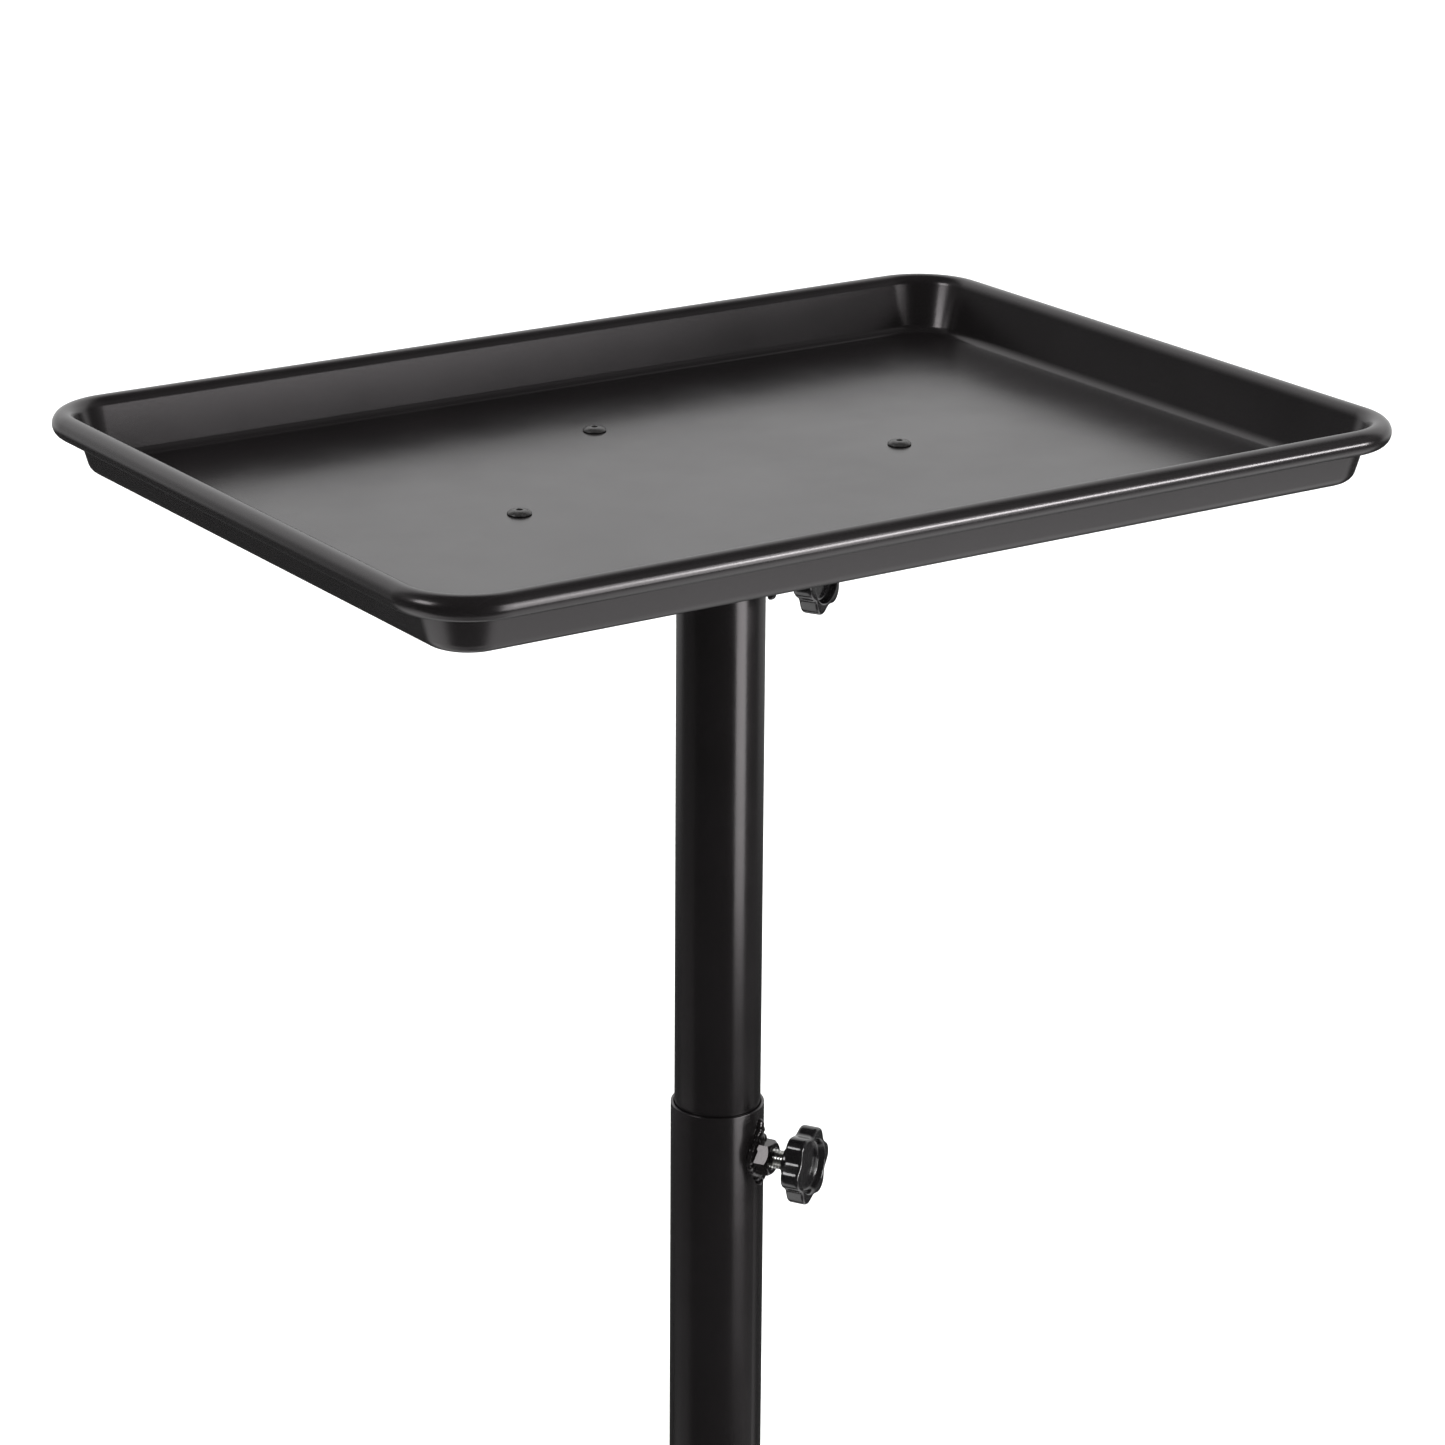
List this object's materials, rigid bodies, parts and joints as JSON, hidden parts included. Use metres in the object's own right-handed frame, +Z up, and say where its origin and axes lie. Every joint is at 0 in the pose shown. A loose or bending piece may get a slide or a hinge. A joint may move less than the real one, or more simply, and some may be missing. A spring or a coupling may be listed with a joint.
{
  "type": "instrument cart",
  "caption": "Rolling instrument cart: rolled-rim tray on a two-stage clamped post, star knobs, four-leg base with swivel casters.",
  "frame": {"origin": "centre of the footprint on the floor, on the post's axis", "axes": "+Z up, X along the tray's long side, the working side faces -Y"},
  "size_m": [0.4682, 0.4682, 0.9888],
  "materials": {
    "powder_coat": "satin black powder coat",
    "rivet_black": "satin black",
    "knob_plastic": "moulded glossy black",
    "zinc_steel": "bright zinc plate",
    "black_plastic": "moulded matt black",
    "wheel_grey": "matt grey polyurethane tread"
  },
  "bodies": {
    "root": {"lower_tube": "powder_coat", "lower_tube_nut": "powder_coat", "post_foot_plug": "zinc_steel", "base_beam": "powder_coat", "base_arm_rear_left": "powder_coat", "base_arm_front_right": "powder_coat", "base_bolt": "zinc_steel", "base_washer": "zinc_steel", "base_end_cap_rear_right": "black_plastic", "base_end_cap_rear_left": "black_plastic", "base_end_cap_front_left": "black_plastic", "base_end_cap_front_right": "black_plastic", "caster_rear_right_stem": "zinc_steel", "caster_rear_left_stem": "zinc_steel", "caster_front_left_stem": "zinc_steel", "caster_front_right_stem": "zinc_steel", "caster_rear_right_nut": "zinc_steel", "caster_rear_left_nut": "zinc_steel", "caster_front_left_nut": "zinc_steel", "caster_front_right_nut": "zinc_steel"},
    "upper_post": {"upper_tube": "powder_coat", "upper_tube_cap": "black_plastic", "upper_tube_glide": "black_plastic"},
    "tray_head": {"tray": "powder_coat", "tray_bracket": "powder_coat", "tray_socket": "powder_coat", "tray_socket_nut": "powder_coat", "tray_rivet_left": "rivet_black", "tray_rivet_right": "rivet_black", "tray_rivet_rear": "rivet_black", "tray_rivet_front": "rivet_black"},
    "tray_clamp_stud": {"tray_knob_stud": "zinc_steel"},
    "tray_clamp_knob": {"tray_knob": "knob_plastic"},
    "post_clamp_stud": {"post_knob_stud": "zinc_steel"},
    "post_clamp_knob": {"post_knob": "knob_plastic"},
    "caster_rear_right": {"caster_rear_right_housing": "black_plastic", "caster_rear_right_axle": "zinc_steel"},
    "caster_rear_right_wheel_left": {"caster_rear_right_wheel_left": "wheel_grey"},
    "caster_rear_right_wheel_right": {"caster_rear_right_wheel_right": "wheel_grey"},
    "caster_rear_left": {"caster_rear_left_housing": "black_plastic", "caster_rear_left_axle": "zinc_steel"},
    "caster_rear_left_wheel_left": {"caster_rear_left_wheel_left": "wheel_grey"},
    "caster_rear_left_wheel_right": {"caster_rear_left_wheel_right": "wheel_grey"},
    "caster_front_left": {"caster_front_left_housing": "black_plastic", "caster_front_left_axle": "zinc_steel"},
    "caster_front_left_wheel_left": {"caster_front_left_wheel_left": "wheel_grey"},
    "caster_front_left_wheel_right": {"caster_front_left_wheel_right": "wheel_grey"},
    "caster_front_right": {"caster_front_right_housing": "black_plastic", "caster_front_right_axle": "zinc_steel"},
    "caster_front_right_wheel_left": {"caster_front_right_wheel_left": "wheel_grey"},
    "caster_front_right_wheel_right": {"caster_front_right_wheel_right": "wheel_grey"}
  },
  "joints": [
    {"name": "height_slide", "type": "slide", "parent": "root", "child": "upper_post", "axis": [0, 0, 1], "range_m": [-0.2, 0.16]},
    {"name": "tray_swivel", "type": "hinge", "parent": "upper_post", "child": "tray_head", "pos_m": [0, 0, 0.984], "axis": [0, 0, 1], "continuous": true},
    {"name": "tray_clamp_travel", "type": "slide", "parent": "tray_head", "child": "tray_clamp_stud", "axis": [0.515, -0.8572, 0], "range_m": [0, 0.00375]},
    {"name": "tray_knob_turn", "type": "hinge", "parent": "tray_clamp_stud", "child": "tray_clamp_knob", "pos_m": [0, 0, 0.9322], "axis": [0.515, -0.8572, 0], "range_deg": [0, 1085]},
    {"name": "post_clamp_travel", "type": "slide", "parent": "root", "child": "post_clamp_stud", "axis": [0.515, -0.8572, 0], "range_m": [0, 0.00375]},
    {"name": "post_knob_turn", "type": "hinge", "parent": "post_clamp_stud", "child": "post_clamp_knob", "pos_m": [0, 0, 0.6825], "axis": [0.515, -0.8572, 0], "range_deg": [0, 1085]},
    {"name": "caster_rear_right_swivel", "type": "hinge", "parent": "root", "child": "caster_rear_right", "pos_m": [0.18526, 0.18526, 0.06], "axis": [0, 0, 1], "continuous": true},
    {"name": "caster_rear_right_wheel_left_spin", "type": "hinge", "parent": "caster_rear_right", "child": "caster_rear_right_wheel_left", "pos_m": [0.19799, 0.19799, 0.02479], "axis": [-0.7071, 0.7071, 0], "continuous": true},
    {"name": "caster_rear_right_wheel_right_spin", "type": "hinge", "parent": "caster_rear_right", "child": "caster_rear_right_wheel_right", "pos_m": [0.19799, 0.19799, 0.02479], "axis": [-0.7071, 0.7071, 0], "continuous": true},
    {"name": "caster_rear_left_swivel", "type": "hinge", "parent": "root", "child": "caster_rear_left", "pos_m": [-0.18526, 0.18526, 0.06], "axis": [0, 0, 1], "continuous": true},
    {"name": "caster_rear_left_wheel_left_spin", "type": "hinge", "parent": "caster_rear_left", "child": "caster_rear_left_wheel_left", "pos_m": [-0.19799, 0.19799, 0.02479], "axis": [-0.7071, -0.7071, 0], "continuous": true},
    {"name": "caster_rear_left_wheel_right_spin", "type": "hinge", "parent": "caster_rear_left", "child": "caster_rear_left_wheel_right", "pos_m": [-0.19799, 0.19799, 0.02479], "axis": [-0.7071, -0.7071, 0], "continuous": true},
    {"name": "caster_front_left_swivel", "type": "hinge", "parent": "root", "child": "caster_front_left", "pos_m": [-0.18526, -0.18526, 0.06], "axis": [0, 0, 1], "continuous": true},
    {"name": "caster_front_left_wheel_left_spin", "type": "hinge", "parent": "caster_front_left", "child": "caster_front_left_wheel_left", "pos_m": [-0.19799, -0.19799, 0.02479], "axis": [0.7071, -0.7071, 0], "continuous": true},
    {"name": "caster_front_left_wheel_right_spin", "type": "hinge", "parent": "caster_front_left", "child": "caster_front_left_wheel_right", "pos_m": [-0.19799, -0.19799, 0.02479], "axis": [0.7071, -0.7071, 0], "continuous": true},
    {"name": "caster_front_right_swivel", "type": "hinge", "parent": "root", "child": "caster_front_right", "pos_m": [0.18526, -0.18526, 0.06], "axis": [0, 0, 1], "continuous": true},
    {"name": "caster_front_right_wheel_left_spin", "type": "hinge", "parent": "caster_front_right", "child": "caster_front_right_wheel_left", "pos_m": [0.19799, -0.19799, 0.02479], "axis": [0.7071, 0.7071, 0], "continuous": true},
    {"name": "caster_front_right_wheel_right_spin", "type": "hinge", "parent": "caster_front_right", "child": "caster_front_right_wheel_right", "pos_m": [0.19799, -0.19799, 0.02479], "axis": [0.7071, 0.7071, 0], "continuous": true}
  ],
  "couplings": [
    {"joint": "tray_knob_turn", "follows": "tray_clamp_travel", "rad_per_m": 5026.5},
    {"joint": "post_knob_turn", "follows": "post_clamp_travel", "rad_per_m": 5026.5}
  ]
}
